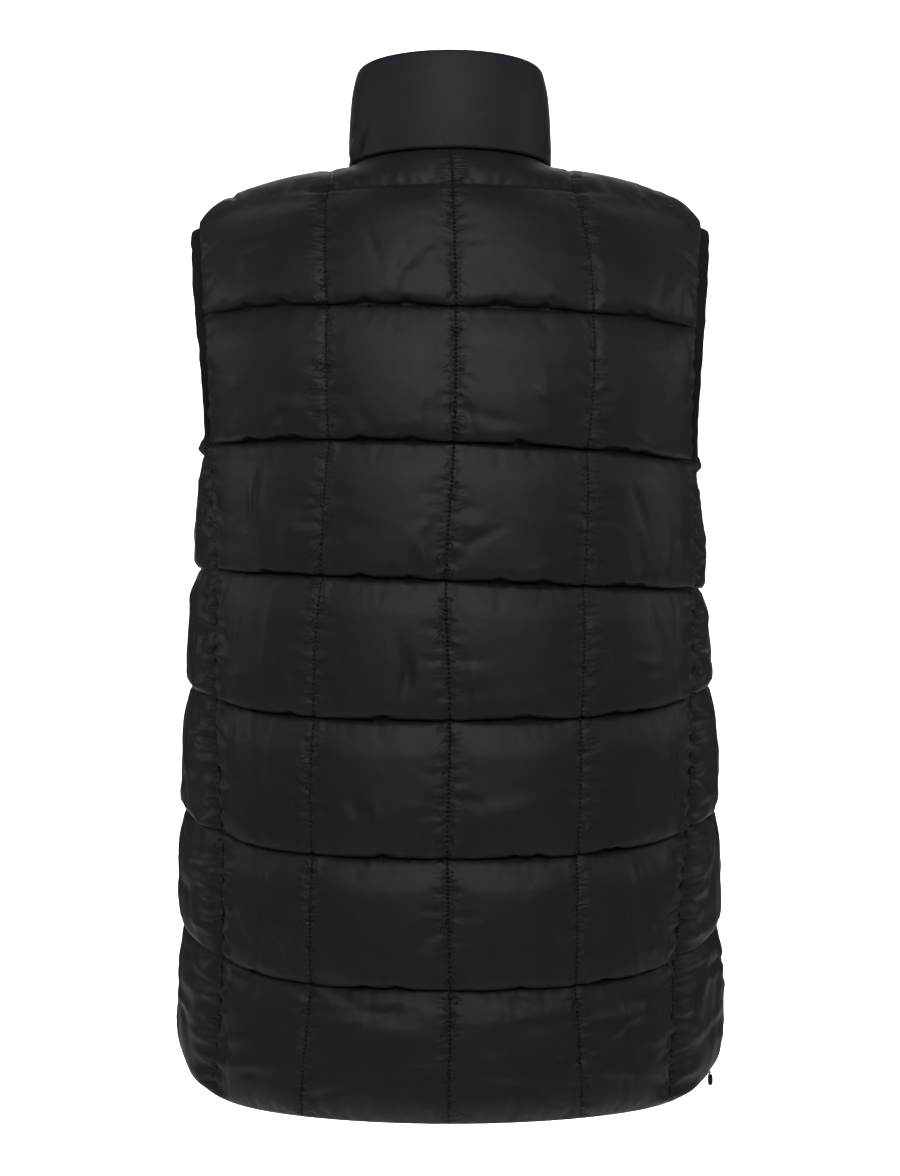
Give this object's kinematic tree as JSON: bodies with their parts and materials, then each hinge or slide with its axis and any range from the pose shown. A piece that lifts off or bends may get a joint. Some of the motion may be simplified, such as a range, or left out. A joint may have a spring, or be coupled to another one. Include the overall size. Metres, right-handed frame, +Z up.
{
  "type": "puffer vest",
  "caption": "Sleeveless quilted puffer vest, filled out as worn, with a plain stand collar, bound armholes, a front zip and a small hem cord loop.",
  "frame": {"origin": "centre of the neck base, level with the top of the shoulder seams", "axes": "+Z up, the front faces -Y, +X is the wearer's left"},
  "size_m": [0.4286, 0.2738, 0.8015],
  "materials": {
    "quilted_cloth": "near-black downproof taffeta with a soft sheen",
    "collar_cloth": "near-black taffeta, smooth and lightly padded",
    "binding": "matt black woven binding",
    "zip_tape": "matt black woven tape",
    "zip_teeth": "black coil teeth",
    "zip_metal": "black coated metal",
    "cord": "thin black braided cord",
    "cord_end": "black moulded plastic"
  },
  "bodies": {
    "vest": {"back_panel": "quilted_cloth", "front_left": "quilted_cloth", "front_right": "quilted_cloth", "collar": "collar_cloth", "armhole_band_left": "binding", "armhole_band_right": "binding", "zip_tape_left": "zip_tape", "zip_tape_right": "zip_tape", "zip_chain": "zip_teeth", "zip_slider": "zip_metal", "cord_strand_back": "cord", "cord_strand_front": "cord", "cord_end": "cord_end"},
    "pull": {"zip_pull": "zip_metal"}
  },
  "joints": [
    {"name": "pull_swing", "type": "hinge", "parent": "vest", "child": "pull", "pos_m": [0, -0.08503, 0.02884], "axis": [-1, 0, 0], "range_deg": [0, 120]}
  ]
}
